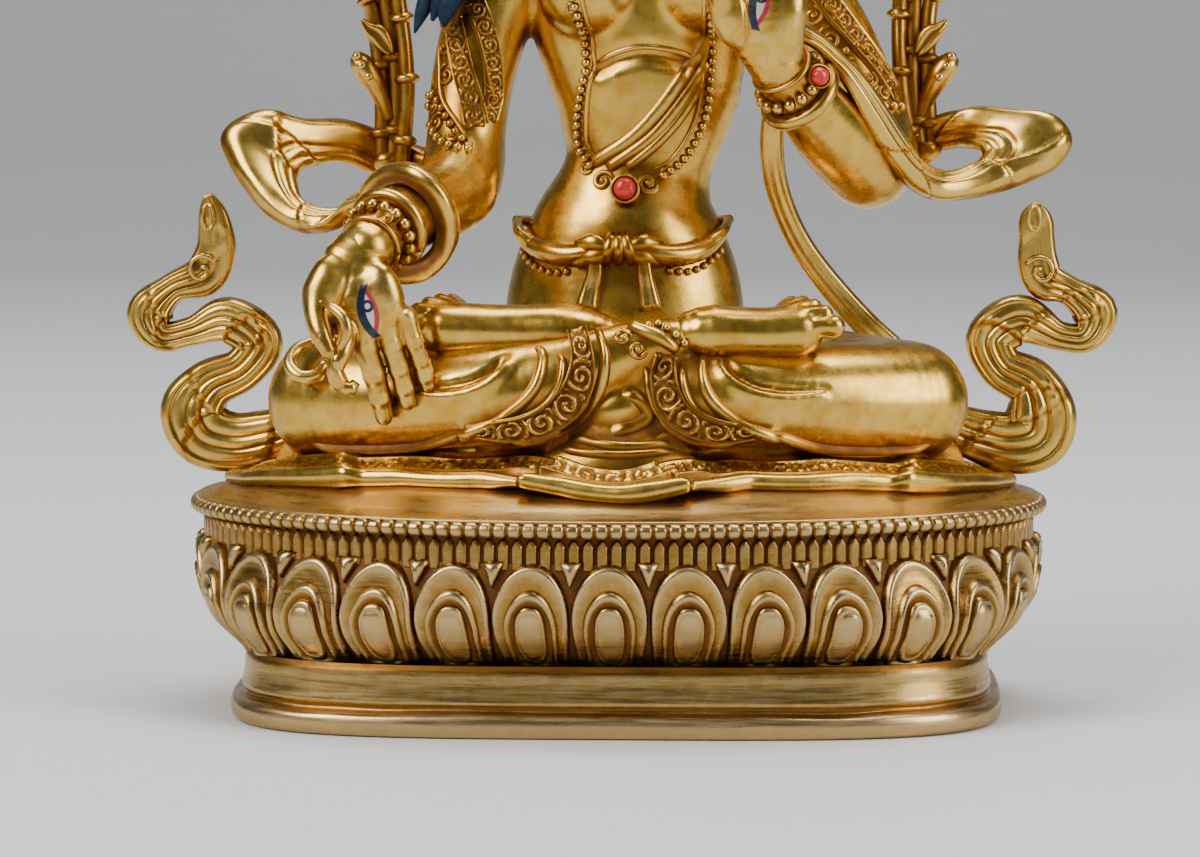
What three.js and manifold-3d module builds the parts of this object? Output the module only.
// A gilt copper figure of seated Tara on an oval lotus base, in millimetres, +Z up, facing -Y.
// The origin is the centre of the base's underside.
import * as THREE from "three";
import { mergeVertices } from "three/addons/utils/BufferGeometryUtils.js";
import Module from "manifold-3d";

const wasm = await Module();
wasm.setup();

// Driving dimensions of the lotus base
const LOTUS_WIDTH = 143.6;
const LOTUS_DEPTH = 93.6;
const FOOT_WIDTH = 127.4;
const FOOT_DEPTH = 82;
const FOOT_HEIGHT = 4.3;
const FOOT_ROUNDING = 0.9;
const BAND_HEIGHT = 6.5;
const BAND_INSET = 1.6;
const PETAL_HEIGHT = 17.4;
const PETAL_COUNT = 30;
const PETAL_RELIEF = 2.4;
const FRIEZE_HEIGHT = 4.4;
const FRIEZE_INSET = 2.9;
const BEAD_WIDTH = 2.6;
const DOME_HEIGHT = 4.7;

// Driving dimensions of the figure and what is set on it
const FIGURE_HEIGHT = 163;
const STONE_WIDTH = 3.8;
const STONE_RISE = 1.5;
const COLLAR_STONE_WIDTH = 3;
const STALK_WIDTH = 2.8;
const SCARF_THICKNESS = 2.4;
const SCROLL_THICKNESS = 3.4;
const FIT = 0.3;

// Heights worked out from the driving dimensions
const BAND_TOP = FOOT_HEIGHT + BAND_HEIGHT;
const PETAL_TOP = BAND_TOP + PETAL_HEIGHT;
const FRIEZE_TOP = PETAL_TOP + FRIEZE_HEIGHT;
const RIM_TOP = FRIEZE_TOP + BEAD_WIDTH;
const SEAT_TOP = RIM_TOP + DOME_HEIGHT;

// The figure is drawn in units, 163 of them from the seat to the tip of the topmost jewel
const UNIT = FIGURE_HEIGHT / 163;

const V = (x, y, z) => new THREE.Vector3(x, y, z);
const { degToRad, smoothstep, lerp } = THREE.MathUtils;
const place = ([x, y, z]) => V(x, y, z).multiplyScalar(UNIT).add(V(0, 0, SEAT_TOP));
const shifted = (p, dx, dy, dz) => [p[0] + dx, p[1] + dy, p[2] + dz];

// Solids from geometry, and back

function solid(geometry) {
  const bare = new THREE.BufferGeometry();
  const source = geometry.index ? geometry.toNonIndexed() : geometry;
  bare.setAttribute("position", source.getAttribute("position"));
  const merged = mergeVertices(bare, 1e-4);
  return new wasm.Manifold(
    new wasm.Mesh({
      numProp: 3,
      vertProperties: merged.attributes.position.array,
      triVerts: new Uint32Array(merged.index.array),
    }),
  );
}

function geometryOf(manifold) {
  const mesh = manifold.getMesh();
  const positions = new Float32Array(mesh.numVert * 3);
  for (let i = 0; i < mesh.numVert; i++) {
    const start = i * mesh.numProp;
    positions.set(mesh.vertProperties.subarray(start, start + 3), i * 3);
  }
  const geometry = new THREE.BufferGeometry();
  geometry.setAttribute("position", new THREE.BufferAttribute(positions, 3));
  geometry.setIndex(new THREE.BufferAttribute(new Uint32Array(mesh.triVerts), 1));
  geometry.computeVertexNormals();
  return geometry;
}

const join = (solids) => solids.reduce((whole, piece) => whole.add(piece));

// Thinning. A quadric sums the squared distances of a point to the planes of its faces.

function planeQuadric([p, q, r]) {
  const plane = new THREE.Plane().setFromCoplanarPoints(p, q, r);
  const row = [...plane.normal.toArray(), plane.constant];
  return row.map((a) => row.map((b) => a * b));
}

const added = (m, n) => m.map((row, i) => row.map((value, j) => value + n[i][j]));

function distanceTo(quadric, point) {
  const row = [...point.toArray(), 1];
  return row.reduce((sum, a, i) => sum + row.reduce((part, b, j) => part + a * b * quadric[i][j], 0), 0);
}

// Merges neighbouring points where the surface moves by less than flatness, so that a joined
// skin keeps its form with fewer faces. It stays closed, and no face turns over.
function thinned(manifold, flatness) {
  const mesh = manifold.getMesh();
  const points = Array.from({ length: mesh.numVert }, (_, i) =>
    V(...mesh.vertProperties.subarray(i * mesh.numProp, i * mesh.numProp + 3)),
  );
  const faces = Array.from({ length: mesh.numTri }, (_, i) => [...mesh.triVerts.subarray(i * 3, i * 3 + 3)]);
  const around = points.map(() => new Set());
  const quadrics = points.map(() => [0, 0, 0, 0].map(() => [0, 0, 0, 0]));
  faces.forEach((face, i) => {
    const quadric = planeQuadric(face.map((v) => points[v]));
    for (const v of face) {
      around[v].add(i);
      quadrics[v] = added(quadrics[v], quadric);
    }
  });
  const normal = (face, moved, to) => {
    const [p, q, r] = face.map((v) => (moved.includes(v) ? to : points[v]));
    return q.clone().sub(p).cross(r.clone().sub(p));
  };
  const neighbours = (v) => new Set([...around[v]].flatMap((i) => faces[i]).filter((w) => w !== v));
  const holds = (a, b, to) => {
    const shared = [...around[a]].filter((i) => around[b].has(i));
    const common = [...neighbours(a)].filter((v) => neighbours(b).has(v));
    if (shared.length !== 2 || common.length !== 2) return false;
    return [...around[a], ...around[b]].every((i) => {
      if (shared.includes(i)) return true;
      const before = normal(faces[i], [], to);
      const after = normal(faces[i], [a, b], to);
      return after.dot(before) > 0.4 * after.length() * before.length() && after.length() > 1e-3;
    });
  };
  const merge = (a, b, to) => {
    points[a] = to;
    quadrics[a] = added(quadrics[a], quadrics[b]);
    for (const i of [...around[b]]) {
      if (faces[i].includes(a)) {
        for (const v of faces[i]) around[v].delete(i);
        faces[i] = null;
      } else {
        faces[i] = faces[i].map((v) => (v === b ? a : v));
        around[a].add(i);
      }
    }
    around[b].clear();
  };
  for (let merged = true; merged; ) {
    merged = false;
    const edges = faces.flatMap((face) =>
      face ? face.map((a, k) => [a, face[(k + 1) % 3]]).filter(([a, b]) => a < b) : [],
    );
    const costs = edges.map(([a, b]) => {
      const quadric = added(quadrics[a], quadrics[b]);
      const middle = points[a].clone().lerp(points[b], 0.5);
      const choices = [points[a], points[b], middle].map((to) => [distanceTo(quadric, to), to.clone()]);
      return [a, b, ...choices.reduce((best, choice) => (choice[0] < best[0] ? choice : best))];
    });
    const touched = new Set();
    for (const [a, b, cost, to] of costs.sort((one, two) => one[2] - two[2])) {
      if (cost > flatness ** 2) break;
      if (touched.has(a) || touched.has(b) || !holds(a, b, to)) continue;
      for (const v of [...neighbours(a), ...neighbours(b)]) touched.add(v);
      merge(a, b, to);
      merged = true;
    }
  }
  const geometry = new THREE.BufferGeometry().setFromPoints(points);
  geometry.setIndex(faces.filter((face) => face).flat());
  return solid(geometry);
}

// Joins rings of equal length into a closed skin. Each end closes on a point.
function skin(rings, head, tail) {
  const count = rings[0].length;
  const middle = (ring) =>
    ring.reduce((sum, p) => sum.add(p), V(0, 0, 0)).divideScalar(ring.length);
  const points = [...rings.flat(), head ?? middle(rings[0]), tail ?? middle(rings.at(-1))];
  const headAt = rings.length * count;
  const faces = [];
  for (let j = 0; j < count; j++) {
    const k = (j + 1) % count;
    for (let i = 0; i + 1 < rings.length; i++) {
      const [a, b] = [i * count + j, i * count + k];
      faces.push(a, b, b + count, a, b + count, a + count);
    }
    faces.push(headAt, k, j);
    faces.push(headAt + 1, headAt - count + j, headAt - count + k);
  }
  const geometry = new THREE.BufferGeometry().setFromPoints(points);
  geometry.setIndex(faces);
  return solid(geometry);
}

// The same skin, turned the right way out
function loft(rings, head, tail) {
  const made = skin(rings, head, tail);
  if (made.volume() > 0) return made;
  return skin(rings.map((ring) => [...ring].reverse()), head, tail);
}

// An ellipsoid in figure units, turned by angles in degrees
function ball(centre, radii, turn = [0, 0, 0], sides = 10, rows = 6) {
  const geometry = new THREE.SphereGeometry(UNIT, sides, rows);
  geometry.rotateX(Math.PI / 2);
  geometry.scale(...radii);
  const angles = new THREE.Euler(...turn.map((angle) => degToRad(angle)));
  geometry.applyMatrix4(new THREE.Matrix4().makeRotationFromEuler(angles));
  geometry.translate(...place(centre).toArray());
  return solid(geometry);
}

// Spots along a smooth curve through stations of [x, y, z, half width, half depth]. A band
// [where, half length, rise] thickens the limb there, where counts stations from 0.
function spotsAlong(stations, steps, bands) {
  const curve = new THREE.CatmullRomCurve3(stations.map(place), false, "centripetal");
  const spans = stations.length - 1;
  const plain = Array.from({ length: spans * steps + 1 }, (_, i) => [i / steps, 0]);
  const clear = plain.filter(([at]) => bands.every(([where, half]) => Math.abs(at - where) > half));
  const raised = bands.flatMap(([where, half, rise]) => [
    [where - half, 0],
    [where - half * 0.6, rise],
    [where + half * 0.6, rise],
    [where + half, 0],
  ]);
  return [...clear, ...raised]
    .sort(([a], [b]) => a - b)
    .map(([at, rise]) => {
      const k = Math.min(Math.floor(at), spans - 1);
      const ease = smoothstep(at - k, 0, 1);
      const radius = (s, c) => (s[c] ?? s[3]) * UNIT;
      const radii = [3, 4].map(
        (c) => lerp(radius(stations[k], c), radius(stations[k + 1], c), ease) + rise * UNIT,
      );
      return { point: curve.getPoint(at / spans), along: curve.getTangent(at / spans), radii };
    });
}

const circle = (sides) =>
  Array.from({ length: sides }, (_, i) => {
    const angle = (2 * Math.PI * (i + 0.5)) / sides;
    return [Math.cos(angle), Math.sin(angle)];
  });

// A cloth strap's section: flat behind, and raised along both edges in front
const STRAP = [
  [1, 0],
  [0.8, 1],
  [0, 0.6],
  [-0.8, 1],
  [-1, 0],
  [0, -1],
];

// Five toes side by side
const TOES = [
  [-1, -0.4],
  [-0.8, 1],
  [-0.6, 0.2],
  [-0.4, 1],
  [-0.2, 0.2],
  [0, 1],
  [0.2, 0.2],
  [0.4, 1],
  [0.6, 0.2],
  [0.8, 1],
  [1, -0.4],
  [0, -1],
];

// A skin around a curve, pointed at both ends. A section's second axis leans to hint all the
// way, and a round limb only starts there, so that it never twists.
function sweep(stations, { sides = 8, steps = 1, hint = [0, 1, 0], section, round = 0.6, bands = [] } = {}) {
  const shape = section ?? circle(sides);
  const lean = V(...hint);
  const spots = spotsAlong(stations, steps, bands);
  const rings = spots.map(({ point, along, radii }) => {
    const u = along.clone().cross(lean).normalize();
    const v = u.clone().cross(along).normalize();
    if (!section) lean.copy(v);
    return shape.map(([a, b]) =>
      point.clone().addScaledVector(u, a * radii[0]).addScaledVector(v, b * radii[1]),
    );
  });
  const tip = ({ point, along, radii }, way) =>
    point.clone().addScaledVector(along, way * round * Math.min(...radii));
  return loft(rings, tip(spots[0], -1), tip(spots.at(-1), 1));
}

// The lotus base

const ROUND_POWER = 2.12;
const FOOT_POWER = 3.8;
const FOOT_SIDES = 36;
const HALF = [LOTUS_WIDTH / 2, LOTUS_DEPTH / 2];
const FOOT_HALF = [FOOT_WIDTH / 2, FOOT_DEPTH / 2];

// A point of a rounded oval. A power of 2 is an ellipse, and a higher one is squarer.
function oval([halfWidth, halfDepth], inset, power, angle, z) {
  const bend = (v) => Math.sign(v) * Math.abs(v) ** (2 / power);
  return V((halfWidth - inset) * bend(Math.cos(angle)), (halfDepth - inset) * bend(Math.sin(angle)), z);
}

// Angles that divide an outline into equal lengths, starting at the front
function evenAngles(count, halves, power) {
  const fine = 1440;
  const angleAt = (i) => (2 * Math.PI * i) / fine - Math.PI / 2;
  const at = (i) => oval(halves, 0, power, angleAt(i), 0);
  const lengths = [0];
  for (let i = 1; i <= fine; i++) lengths.push(lengths[i - 1] + at(i).distanceTo(at(i - 1)));
  let k = 0;
  return Array.from({ length: count }, (_, i) => {
    const wanted = (lengths[fine] * i) / count;
    while (lengths[k + 1] < wanted) k++;
    return angleAt(k + (wanted - lengths[k]) / (lengths[k + 1] - lengths[k]));
  });
}

// Stacked outlines, each [half sizes, inset, power, height]
function stack(levels, count) {
  return loft(
    levels.map(([halves, inset, power, z]) =>
      evenAngles(count, halves, power).map((angle) => oval(halves, inset, power, angle, z)),
    ),
  );
}

function foot() {
  const row = (inset, z) => [FOOT_HALF, inset, FOOT_POWER, z];
  return stack(
    [
      row(FOOT_ROUNDING, 0),
      row(0, FOOT_ROUNDING),
      row(0, FOOT_HEIGHT - FOOT_ROUNDING),
      row(BAND_INSET, FOOT_HEIGHT),
      row(BAND_INSET * 1.3, BAND_TOP - 0.4),
      row(BAND_INSET * 1.6, BAND_TOP + 0.6),
    ],
    FOOT_SIDES,
  );
}

// How far in from its widest outline the lotus stands, at shares of its height
const BELLY = [
  [0, 9.4],
  [0.3, 3.6],
  [0.66, 0.4],
  [0.88, 0.4],
  [1, 1.6],
];

// A petal's relief from 0 to 1. side runs from -1 to 1 over one petal, up from 0 to 1.
function petalRelief(side, up) {
  const arch = 0.6;
  const over = Math.max(0, up - arch) / (1 - arch);
  const reach = Math.hypot(side / 0.96, over);
  return 1 - smoothstep(reach, 0.7, 1.05);
}

function petals() {
  const columns = 4;
  return loft(
    BELLY.map(([share, inset]) => {
      const power = lerp(FOOT_POWER, ROUND_POWER, smoothstep(share, 0, 0.6));
      return evenAngles(PETAL_COUNT * columns, HALF, power).map((angle, i) => {
        const side = (2 * ((i + columns / 2) % columns)) / columns - 1;
        const sunk = PETAL_RELIEF * (1 - petalRelief(side, share));
        return oval(HALF, inset + sunk, power, angle, BAND_TOP + PETAL_HEIGHT * share);
      });
    }),
  );
}

// The seat rises in a low dome from inside the bead row
const SEAT_HALF = HALF.map((size) => size - FRIEZE_INSET - 0.2);
const PLATEAU_SHARE = 0.72;
const SEAT_SIDES = 40;
const domeLevels = (gap) =>
  [0, 0.4, 1].map((share) => {
    const scale = lerp(1, PLATEAU_SHARE, share);
    const z = RIM_TOP + DOME_HEIGHT * Math.sin((Math.PI / 2) * share) + gap;
    return [SEAT_HALF.map((size) => size * scale), 0, ROUND_POWER, z];
  });

function seat() {
  const row = (inset, z) => [HALF, inset, ROUND_POWER, z];
  const bead = BEAD_WIDTH / 2;
  return stack(
    [
      row(FRIEZE_INSET, PETAL_TOP - 1.4),
      row(FRIEZE_INSET, FRIEZE_TOP),
      row(FRIEZE_INSET - bead * 1.8, FRIEZE_TOP + bead * 0.6),
      row(FRIEZE_INSET - bead * 1.8, FRIEZE_TOP + bead * 1.4),
      ...domeLevels(0),
    ],
    SEAT_SIDES,
  );
}

const lotusBase = () => join([foot(), petals(), seat()]);

// What the figure and the scarf ends stay clear of: the seat with its clearance
const seatClearance = () =>
  stack(
    [[HALF, 0, ROUND_POWER, PETAL_TOP], [HALF, 0, ROUND_POWER, RIM_TOP], ...domeLevels(FIT)],
    SEAT_SIDES,
  );

// The figure's body. Stations are [x, y, z, half width, half depth] in figure units.

const TORSO = [
  [0.8, 9, 10, 20, 14],
  [0.9, 9.5, 27, 20, 13.6],
  [0.6, 9.8, 36, 17.3, 12],
  [2.3, 9.4, 44, 13.2, 9.8],
  [4.3, 9, 49.5, 11.3, 8.6],
  [4.2, 9, 56, 12.7, 9],
  [3.9, 9, 65, 16.2, 10],
  [3.9, 9, 74, 19.4, 10.4],
  [3.9, 9.4, 83, 20.5, 9.6],
  [3.9, 10, 90, 15.5, 7.6],
  [4, 9.4, 95, 7, 6],
  [4, 8.2, 101, 5.2, 5],
  [4, 7, 110, 5.2, 5.2],
];
const BREASTS = [-5.6, 13.6].map((x) => [[x, 2.2, 79.2], [7.6, 7.2, 7.6]]);

// How far forward the torso or a breast stands at x and z
function chestFront(x, z) {
  const k = Math.max(1, TORSO.findIndex((s) => s[2] >= z));
  const [low, high] = [TORSO[k - 1], TORSO[k]];
  const [cx, cy, , hx, hy] = low.map((v, i) => lerp(v, high[i], (z - low[2]) / (high[2] - low[2])));
  const front = cy - hy * Math.sqrt(Math.max(0, 1 - ((x - cx) / hx) ** 2));
  const fronts = BREASTS.map(([[bx, by, bz], [rx, ry, rz]]) => {
    const inside = 1 - ((x - bx) / rx) ** 2 - ((z - bz) / rz) ** 2;
    return inside > 0 ? by - ry * Math.sqrt(inside) : front;
  });
  return Math.min(front, ...fronts);
}

const trunk = () => [
  sweep(TORSO, { sides: 12 }),
  ...BREASTS.map(([centre, radii]) => ball(centre, radii, [0, 0, 0], 8, 6)),
];

// The folded legs: thighs out to the knees, and shins back to the middle
function legs() {
  const thigh = (s) => [
    [s * 8, 10, 12, 11],
    [s * 27, 2, 12.6, 10.2],
    [s * 42, -5.8, 12, 9.9],
    [s * 49.4, -8.8, 11.5, 8.4],
    [s * 53.4, -10.4, 11.3, 5.2],
    [s * 54.6, -10.8, 11.3, 2.2],
  ];
  const nearShin = [
    [-50, -11, 11.2, 5],
    [-44, -12.6, 11.2, 8.2],
    [-29, -18.8, 11.4, 8.4],
    [-13, -22.6, 13, 8.2],
    [-2, -24, 18.2, 6],
    [7, -24.4, 22.8, 4.4],
    [10, -24.4, 24, 4],
  ];
  const farShin = [
    [50, -11, 11.4, 5],
    [44, -12.6, 11.4, 8.4],
    [29, -18.6, 11.8, 8.8],
    [16, -21.6, 12.4, 8.4],
    [4, -21.8, 15, 6.2],
    [-4, -20.6, 22, 4.2],
  ];
  return [
    sweep(thigh(-1), { sides: 10 }),
    sweep(thigh(1), { sides: 10 }),
    sweep(nearShin, { sides: 9, bands: [[4.9, 0.16, 0.9]] }),
    sweep(farShin, { sides: 9 }),
  ];
}

// Both feet lie on the thighs with their soles up
function feet() {
  const left = [
    [0, -20.4, 23.4, 3.8, 3.2],
    [-8, -20, 25.2, 4.2, 2.6],
    [-18, -19.4, 26.2, 4.8, 2.4],
    [-27, -19, 25.8, 5.2, 2.1],
  ];
  const right = [
    [8, -24.6, 23.8, 3.8, 3.2],
    [16, -25, 24.4, 4.2, 3],
    [24, -23.6, 24.8, 4.8, 2.8],
    [32, -22, 24.6, 5.2, 2.4],
  ];
  const toes = ([x, y, z, wide], way) => [
    [x, y, z + 0.4, wide, 2],
    [x + way * 6, y + 0.3, z - 0.4, wide, 1.7],
  ];
  const flat = { sides: 8, hint: [0, 0, 1] };
  return [
    sweep(left, flat),
    sweep(right, flat),
    sweep(toes(left.at(-1), -1), { section: TOES, hint: [0, 0, 1] }),
    sweep(toes(right.at(-1), 1), { section: TOES, hint: [0, 0, 1] }),
  ];
}

// The garment's cloth spread on the seat, with a waved hem and a lobe in front
function garment() {
  const rows = [
    [1, -7],
    [1, 1.4],
    [0.92, 3.4],
  ];
  const [halfWidth, halfDepth] = [64.6, 31];
  const points = 48;
  return loft(
    rows.map(([scale, z]) =>
      Array.from({ length: points }, (_, i) => {
        const angle = (2 * Math.PI * i) / points;
        const front = Math.max(0, -Math.sin(angle));
        const lobe = 6.4 * front ** 30 + 1.6 * Math.cos(angle * 8) * front ** 2;
        const x = scale * halfWidth * Math.cos(angle);
        const y = scale * (halfDepth + lobe) * Math.sin(angle);
        return place([x, y, z]);
      }),
    ),
  );
}

// The patterned hems that curve down from both shins, a fold beside each, and the apron between
function hems() {
  const left = [
    [-4.8, -29.4, 25, 2.8, 1.4],
    [-3.8, -30.6, 19, 2.8, 1.4],
    [-5, -31.4, 12.4, 3, 1.4],
    [-10.6, -31.6, 7, 3, 1.4],
    [-20, -31, 3.8, 2.6, 1.4],
  ];
  const right = [
    [9.4, -27.4, 20.4, 2.8, 1.6],
    [8.4, -29.2, 15, 3, 1.6],
    [10.6, -30.6, 9.4, 3, 1.6],
    [17.6, -31, 5.4, 2.8, 1.6],
    [26, -30.4, 3.8, 2.4, 1.4],
  ];
  const beside = (band, way) =>
    band.map(([x, y, z], i) => [x + way * (6 - 0.6 * i), y + 0.6, z + 0.9 * i, 1.2]);
  const strap = { section: STRAP, steps: 2, round: 0.3, hint: [0, -1, 0.3] };
  return [
    sweep(left, strap),
    sweep(right, strap),
    sweep(beside(left, -1), { sides: 5 }),
    sweep(beside(right, 1), { sides: 5 }),
    ball([0.8, -27, 3], [9, 11, 6]),
  ];
}

// One arm hangs down to the knee, and the other is raised to the breast. The bands are the
// armlet, the scarf's turns round the forearm and the bracelet.
const arms = () => [
  sweep(
    [
      [-17.5, 9.5, 84, 7.6],
      [-22.4, 8.4, 73, 7.3],
      [-25.4, 6.4, 60, 6.9],
      [-25.8, 2.6, 50, 6.6],
      [-28.6, -5, 44.4, 6.4],
      [-33.4, -15, 42.2, 5.8],
      [-38.2, -24.8, 39, 4.8],
      [-39.6, -28, 37, 4.4],
    ],
    { sides: 10, bands: [[1.7, 0.2, 1.1], [4.25, 0.42, 1.6], [5.7, 0.2, 1.2]] },
  ),
  sweep(
    [
      [25.5, 9.5, 84, 7.6],
      [33.4, 8.4, 74, 7.3],
      [39.6, 5.6, 61, 7.1],
      [42.8, 0.6, 50.6, 7],
      [39.6, -8, 51, 6.9],
      [33.6, -16, 57.4, 6.1],
      [28.2, -22.2, 64, 4.9],
      [26, -25, 67.4, 4.5],
    ],
    { sides: 10, bands: [[1.7, 0.2, 1.1], [5.9, 0.2, 1.2]] },
  ),
];

// A finger from its knuckle to its tip
const finger = (radius, ...points) =>
  sweep(points.map((p, i) => [...p, radius * (1 - 0.1 * i)]), { sides: 6, hint: [0.4, 1, 0.1] });

const loweredHand = () => [
  sweep([
    [-39.4, -28.6, 36.6, 4.8, 3.8],
    [-39.4, -30.8, 31, 7, 3],
    [-37.8, -31.8, 26, 7, 2.5],
    [-36.6, -32, 23, 6, 2],
  ]),
  ball([-43.4, -31, 29], [3.2, 3, 5.4], [0, 15, 0], 8, 5),
  finger(1.9, [-38.6, -32.2, 24], [-37, -33.2, 16], [-35.6, -32.6, 9]),
  finger(1.75, [-34.8, -32, 24], [-33, -32.9, 17.6], [-31.8, -32.4, 11]),
  finger(1.5, [-31.8, -31.4, 25], [-30.6, -32, 19.4], [-29.6, -31.4, 14.8]),
  finger(1.8, [-41.6, -32, 25], [-42.8, -34.4, 19], [-43, -34.8, 15.2]),
  finger(1.9, [-44.6, -31.6, 29], [-45.6, -34.2, 24], [-43.8, -35.6, 20]),
];

const raisedHand = () => [
  sweep([
    [25.6, -25.4, 67.6, 4.7, 3.8],
    [24, -28, 73.4, 6.8, 2.9],
    [23.6, -28.8, 78.6, 6.8, 2.4],
    [23.4, -28.8, 81.6, 6, 2],
  ]),
  ball([19.4, -28.4, 74.4], [3.2, 3, 5], [0, -10, 0], 8, 5),
  finger(1.75, [19.6, -29, 80], [18.6, -30, 87.6], [18, -28.6, 93.6]),
  finger(1.85, [23, -29.2, 81], [22.6, -30, 90], [22.2, -28.8, 96.8]),
  finger(1.75, [26.2, -28.8, 80.4], [26.6, -32.6, 84.4], [23, -34.6, 82.2]),
  finger(1.5, [28.8, -28, 79], [30.4, -28.6, 85.6], [30.8, -27.2, 90.2]),
  finger(1.9, [18, -29.2, 76], [17, -32.4, 79.6], [20.4, -34.6, 81.8]),
];

// The head, from its middle: the face under a crown of five leaves and a tall knot of hair
const HEAD = [4, 3.4, 116.6];
const fromHead = (dx, dy, dz) => shifted(HEAD, dx, dy, dz);

const head = () => [
  ball(HEAD, [9.8, 10.6, 12.2], [0, 0, 0], 12, 8),
  ball(fromHead(0, -4.4, -7.8), [5.4, 5, 4.5]),
  ball(fromHead(0, 2, 2.4), [10.7, 11.4, 11.2], [0, 0, 0], 12, 8),
  sweep([[...fromHead(0, -9.4, 3), 0.9], [...fromHead(0, -11.4, -2.2), 1.5]], { sides: 5 }),
  ball(fromHead(0, -9, -5.8), [2.5, 1.3, 1.1], [0, 0, 0], 8, 4),
  ...[-1, 1].flatMap((s) => [
    ball(fromHead(s * 9.9, 2.4, -2.6), [1.4, 2.2, 4.6], [0, 0, 0], 6, 5),
    ball(fromHead(s * 10.4, 1.4, -8.8), [2.4, 1.8, 3], [0, 0, 0], 8, 5),
    ball(fromHead(s * 4, -8.4, 1.2), [2.6, 1.6, 1.3], [0, 0, 0], 6, 4),
  ]),
];

// The crown: a band whose rim rises into five pointed leaves over the brow and ears
const CROWN_BAND = 3;
const CROWN_COLUMNS = 24;
const CROWN_PITCH = (4 * Math.PI) / CROWN_COLUMNS;
const CROWN_LEAVES = [14, 11, 8];

function crown() {
  const leafHeight = (angle) => {
    const turn = Math.abs(angle) / CROWN_PITCH;
    const leaf = Math.round(turn);
    return CROWN_BAND + (CROWN_LEAVES[leaf] ?? 0) * (1 - 2 * Math.abs(turn - leaf));
  };
  const ring = (radius, lift) =>
    Array.from({ length: CROWN_COLUMNS }, (_, i) => {
      const angle = 2 * Math.PI * (i / CROWN_COLUMNS - 0.5);
      const height = leafHeight(angle) * lift;
      const out = radius + height * 0.08;
      return place(fromHead(out * Math.sin(angle), 1.6 - out * Math.cos(angle), 4 + height));
    });
  const middle = place(fromHead(0, 1.6, 4));
  return [loft([ring(12.2, 0), ring(12.2, 1), ring(10.8, 0.98), ring(10, 0)], middle, middle)];
}

// The piled hair with its ring, and the jewel that tops it
const knot = () => [
  sweep(
    [
      [...fromHead(0, 3, 9), 7.6],
      [...fromHead(0, 3, 14), 5.6],
      [...fromHead(0, 2.8, 20), 6.4],
      [...fromHead(0, 2.6, 28), 4.4],
      [...fromHead(0, 2.6, 31), 2.4],
    ],
    { sides: 10, bands: [[1, 0.24, 1]] },
  ),
  sweep(
    [
      [...fromHead(0, 2.6, 30.4), 1.6],
      [...fromHead(0, 2.6, 35.4), 3.2],
      [...fromHead(0, 2.6, 41), 1.5],
      [...fromHead(0, 2.6, 46.1), 0.5],
    ],
    { sides: 7 },
  ),
];

// Locks of hair over both shoulders, and the hair down the back
const locks = () => [
  ...[-1, 1].map((s) =>
    sweep(
      [
        [4 + s * 7.6, 9, 113, 3.4, 3],
        [4 + s * 10.4, 8.4, 101, 3.4, 2.6],
        [4 + s * 18, 5.4, 93, 3, 2.4],
        [4 + s * 26.4, 3.4, 87, 2.6, 2],
        [4 + s * 30.6, 1.6, 79, 1.2, 1.2],
      ],
      { sides: 6, hint: [0, -1, 0.6] },
    ),
  ),
  sweep(
    [
      [4, 11, 122, 8, 5],
      [4, 14, 108, 7, 3.6],
      [4, 17.4, 94, 8, 3],
      [4, 18.6, 80, 6.4, 2],
      [4, 18.4, 70, 2.4, 1.6],
    ],
    { sides: 8 },
  ),
];

// Jewellery cast with the figure. Chains lie on the chest through [x, z] points.
const onChest = (points, thickness) =>
  sweep(
    points.map(([x, z]) => [x, chestFront(x, z) - thickness * 0.2, z, thickness]),
    { sides: 4 },
  );
const chains = () => [
  onChest(
    [
      [-8, 93],
      [-4.6, 89],
      [4, 86.4],
      [12.4, 89],
      [15.8, 93],
    ],
    1.5,
  ),
  onChest(
    [
      [-11, 90],
      [-10.4, 80],
      [-8.2, 70],
      [-6.6, 60],
      [-4.4, 51],
      [1.2, 46],
      [9.6, 50.6],
      [13.4, 60],
      [15.4, 72],
      [17.4, 80],
      [18.4, 90],
    ],
    1.1,
  ),
  onChest(
    [
      [-16.2, 40.4],
      [-12.4, 36],
      [-6, 33.6],
      [1.4, 35.8],
      [9.6, 33.8],
      [15.2, 36.6],
      [17.6, 40.6],
    ],
    1.7,
  ),
];

// The scarf over both arms, across the back and down behind the raised arm
const ribbon = (stations, hint = [0, -1, 0.15]) =>
  sweep(
    stations.map(([x, y, z, w]) => [x, y, z, w, SCARF_THICKNESS / 2 / UNIT]),
    { section: STRAP, round: 0.2, hint },
  );

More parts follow.
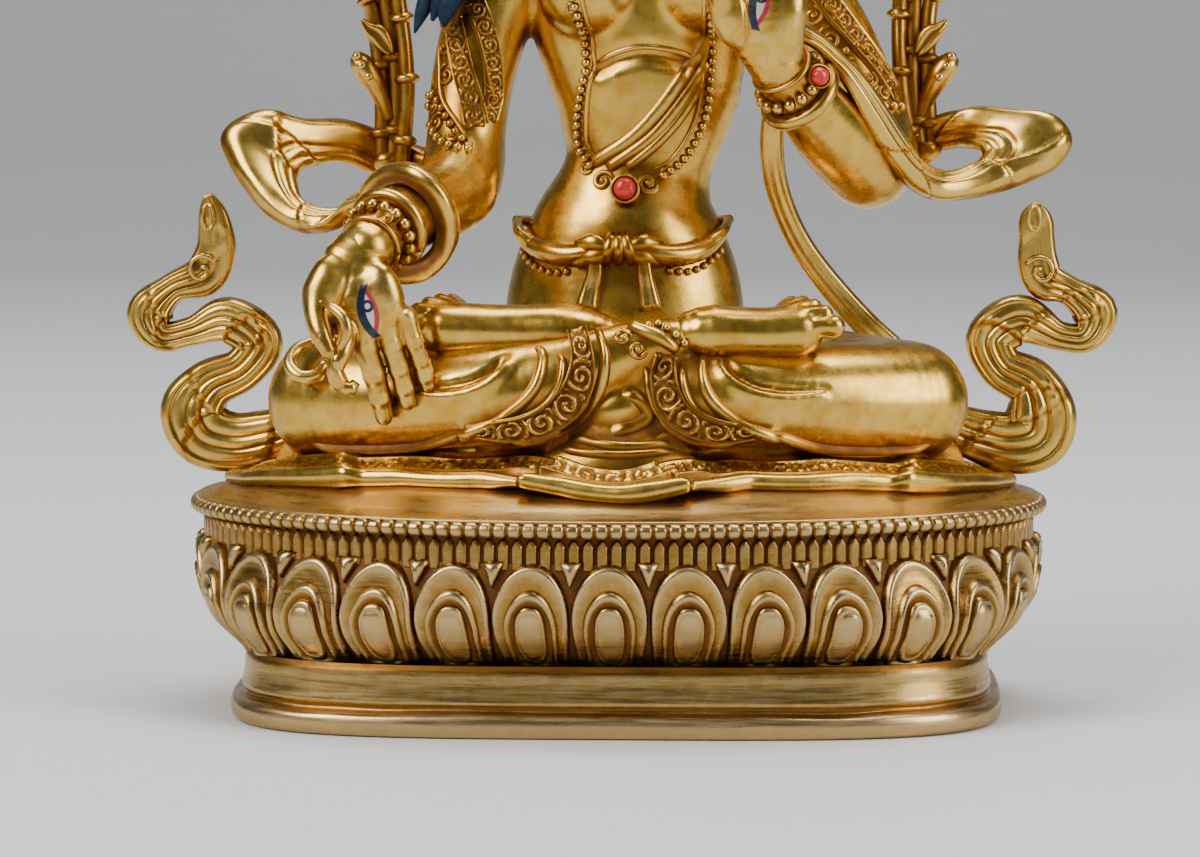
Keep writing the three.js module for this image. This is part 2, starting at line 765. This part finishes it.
const scarf = () => [
  ribbon([
    [-28, 8, 50.4, 3.6],
    [-36, 9, 51, 4],
    [-42, 8, 52.2, 4.2],
    [-48.4, 7, 54.2, 3.5],
    [-54.4, 5, 54.2, 3.8],
    [-61, 2, 52.4, 5.6],
    [-60, -1, 46.6, 5],
    [-55.4, -4, 41.8, 3.2],
    [-49, -5, 40, 2.4],
    [-42.6, -6, 41.6, 2.2],
    [-36, -7, 45, 2],
    [-30.4, -6, 47, 2],
  ]),
  ribbon([
    [44, 4, 48, 3],
    [48, 7, 53.4, 2.8],
    [53.4, 7, 55.6, 2.8],
    [60.4, 5, 55.9, 3.5],
    [69.2, 2, 53.4, 5.6],
    [65.2, 0, 49, 4.2],
    [59.4, -2, 46.4, 2.9],
    [53.4, -5, 46, 2.9],
    [47.8, -9, 48, 2.8],
    [43, -13, 53, 2.8],
    [37.4, -18, 60.4, 2.6],
    [33, -21, 66, 2.2],
  ]),
  ribbon(
    [
      [-23, 12, 78, 3],
      [-12, 17.6, 82, 4],
      [4, 19.4, 78, 4.4],
      [20, 17.6, 82, 4],
      [31, 12, 78, 3],
    ],
    [0, 1, 0.2],
  ),
  ribbon([
    [33, 5, 70, 2],
    [25.4, 2, 59, 2],
    [25.6, 6, 45.6, 2],
    [30.6, 9, 35, 2.2],
    [41, 10, 23, 2.4],
    [50, 6, 15, 2.4],
  ]),
];

// The scrolled scarf ends that stand behind the knees, cut from thick plate. Stations are
// [x, z, half width] from the knee to the tip.
const LEFT_SCROLL = [
  [-48, 8, 3.7],
  [-54.3, 5.3, 4],
  [-60.7, 3.1, 4.7],
  [-66, 2.6, 5.1],
  [-70.6, 4, 5.6],
  [-72.3, 7.8, 5.9],
  [-69.5, 12, 4.6],
  [-64.1, 15, 3.9],
  [-61, 19.4, 4],
  [-66.4, 23, 4],
  [-72.8, 21.4, 2.6],
  [-77.6, 20.6, 3],
  [-79.6, 24.2, 3.9],
  [-75.8, 28.3, 2.7],
  [-70.4, 30.7, 3.6],
  [-68.4, 34.8, 3.4],
  [-68.3, 39.2, 2.6],
  [-69.1, 43, 1.4],
];
const RIGHT_SCROLL = [
  [49, 8.4, 3.7],
  [55.7, 5.7, 4],
  [61.6, 3.7, 4.7],
  [66.6, 3, 5.4],
  [70.2, 4.4, 5.9],
  [70.8, 8.2, 6],
  [69.1, 12.7, 4.6],
  [64.4, 15.8, 3.9],
  [62.3, 20.2, 4.1],
  [67.3, 23.4, 4.2],
  [73.6, 21.2, 2.6],
  [78, 21, 3],
  [79.8, 24.8, 3.8],
  [75.7, 28.3, 2.7],
  [71.6, 30, 3.4],
  [70.2, 33.4, 3.3],
  [70, 37.2, 2.7],
  [69.8, 41, 1.7],
];

const SCROLL_PLACE = 11;

// A gap gives the slot that it stands in
function scarfEnd(stations, gap = 0) {
  const grow = gap / UNIT;
  const halfThick = SCROLL_THICKNESS / 2 / UNIT + grow;
  return sweep(
    stations.map(([x, z, w]) => [x, SCROLL_PLACE, z, w + grow, halfThick]),
    { section: STRAP, steps: 2, hint: [0, -1, 0] },
  );
}

// The flower stalks outside the arms: two stalks, two leaves, a bud and an open flower
function openFlower([x, y, z]) {
  const petals = 7;
  const ring = (tipRadius, tipHeight, dipRadius, dipHeight) =>
    Array.from({ length: 2 * petals }, (_, i) => {
      const angle = (Math.PI * i) / petals;
      const [radius, height] = i % 2 ? [dipRadius, dipHeight] : [tipRadius, tipHeight];
      return place([x + radius * Math.cos(angle), y + radius * Math.sin(angle), z + height]);
    });
  const cup = loft([
    ring(1.6, -2.4, 1.6, -2.4),
    ring(6.6, 2, 5.6, 1.8),
    ring(10.4, 10.6, 6.6, 5.6),
    ring(6, 6.8, 5.4, 5.4),
  ]);
  return [cup, ball([x, y, z + 6], [3.8, 3.8, 9], [0, 0, 0], 8, 6)];
}

function spray(side, [foot, middle, upper, flower, bud]) {
  const halfStalk = STALK_WIDTH / 2 / UNIT;
  const stalk = (points) => sweep(points.map((p) => [...p, halfStalk]), { sides: 6 });
  const leaf = (from, dx, dz) => {
    const [start, mid, end] = [0, 0.5, 1].map((t) => shifted(from, side * dx * t, 0, dz * t));
    return sweep(
      [
        [...start, 1, 0.9],
        [...shifted(mid, 0, 0, 1), 2.1, 1],
        [...end, 0.8, 0.6],
      ],
      { sides: 6 },
    );
  };
  const outward = (p, shift) => shifted(p, side * shift, 0, 0);
  return join([
    stalk([foot, middle, upper, flower]),
    stalk([outward(foot, 1.6), outward(middle, 2.4), outward(upper, 3.4), bud]),
    leaf(outward(middle, 1.6), 8, 2.6),
    leaf(outward(upper, 2.6), 8, 2.4),
    ball(shifted(bud, 0, 0, 3.6), [2.7, 2.7, 5.2], [0, 0, 0], 7, 5),
    ...openFlower(flower),
  ]);
}

const LEFT_STALKS = [
  [-38.4, 12.2, 49],
  [-37.8, 13, 63],
  [-40, 14, 80],
  [-42, 12, 98],
  [-53, 11, 90],
];
const RIGHT_STALKS = [
  [50.6, 10.8, 51],
  [49, 12, 63],
  [49.4, 14, 80],
  [51, 12, 98],
  [62, 11, 90],
];

// A cabochon set before a drum that is cast with the figure. lift is how far in front of the
// drum's face a ring lies.
function dome(centre, facing, rings) {
  const turn = new THREE.Quaternion().setFromUnitVectors(V(0, 0, 1), V(...facing).normalize());
  const at = ([radius, lift]) =>
    circle(8).map(([a, b]) => V(a * radius, b * radius, lift).applyQuaternion(turn).add(place(centre)));
  return loft(rings.map(at));
}
const stone = (centre, facing, width) =>
  dome(centre, facing, [
    [width * 0.44, FIT],
    [width * 0.5, FIT + STONE_RISE * 0.35],
    [width * 0.3, FIT + STONE_RISE],
  ]);
const setting = (centre, facing, width) =>
  dome(centre, facing, [
    [width * 0.5, -width * 0.8],
    [width * 0.68, 0],
  ]);

const STONES = [
  ["coral_pendant", [1.2, -2.4, 46], [0, -1, 0.1], STONE_WIDTH],
  ["coral_bracelet", [33, -25.6, 65.4], [0.35, -1, 0.1], STONE_WIDTH],
  ["coral_crown", fromHead(0, -11.6, 11.4), [0, -1, 0.1], STONE_WIDTH],
  ["turquoise_collar", [4, -1.2, 86.4], [0, -1, 0.3], COLLAR_STONE_WIDTH],
];

function figure() {
  const cast = join([
    ...trunk(),
    ...legs(),
    ...feet(),
    garment(),
    ...hems(),
    ...arms(),
    ...loweredHand(),
    ...raisedHand(),
    ...head(),
    ...crown(),
    ...knot(),
    ...locks(),
    ...chains(),
    ...scarf(),
    ...STONES.map(([, ...stoneSize]) => setting(...stoneSize)),
  ]);
  const slots = [LEFT_SCROLL, RIGHT_SCROLL].map((stations) => scarfEnd(stations, FIT));
  return [seatClearance(), ...slots].reduce((rest, cut) => rest.subtract(cut), cast);
}

// Materials

const gilt = (color, roughness) =>
  new THREE.MeshStandardMaterial({ color, roughness, metalness: 1 });
const GOLD = gilt(0xd6a042, 0.28);
const BASE_GOLD = gilt(0xb98a42, 0.36);
const CORAL = new THREE.MeshStandardMaterial({ color: 0xc8302c, roughness: 0.35 });
const TURQUOISE = new THREE.MeshStandardMaterial({ color: 0x2f9c9a, roughness: 0.4 });

// How far thinning may move a surface
const FLATNESS = 0.235;

const group = new THREE.Group();

function show(name, manifold, material) {
  const mesh = new THREE.Mesh(geometryOf(thinned(manifold, FLATNESS)), material);
  mesh.name = name;
  group.add(mesh);
}

show("lotus_base", lotusBase(), BASE_GOLD);
show("tara_figure", figure(), GOLD);
show("scarf_end_left", scarfEnd(LEFT_SCROLL).subtract(seatClearance()), GOLD);
show("scarf_end_right", scarfEnd(RIGHT_SCROLL).subtract(seatClearance()), GOLD);
show("lotus_spray_left", spray(-1, LEFT_STALKS), GOLD);
show("lotus_spray_right", spray(1, RIGHT_STALKS), GOLD);
for (const [name, ...stoneSize] of STONES) {
  show(name, stone(...stoneSize), name.startsWith("coral") ? CORAL : TURQUOISE);
}

export default group;
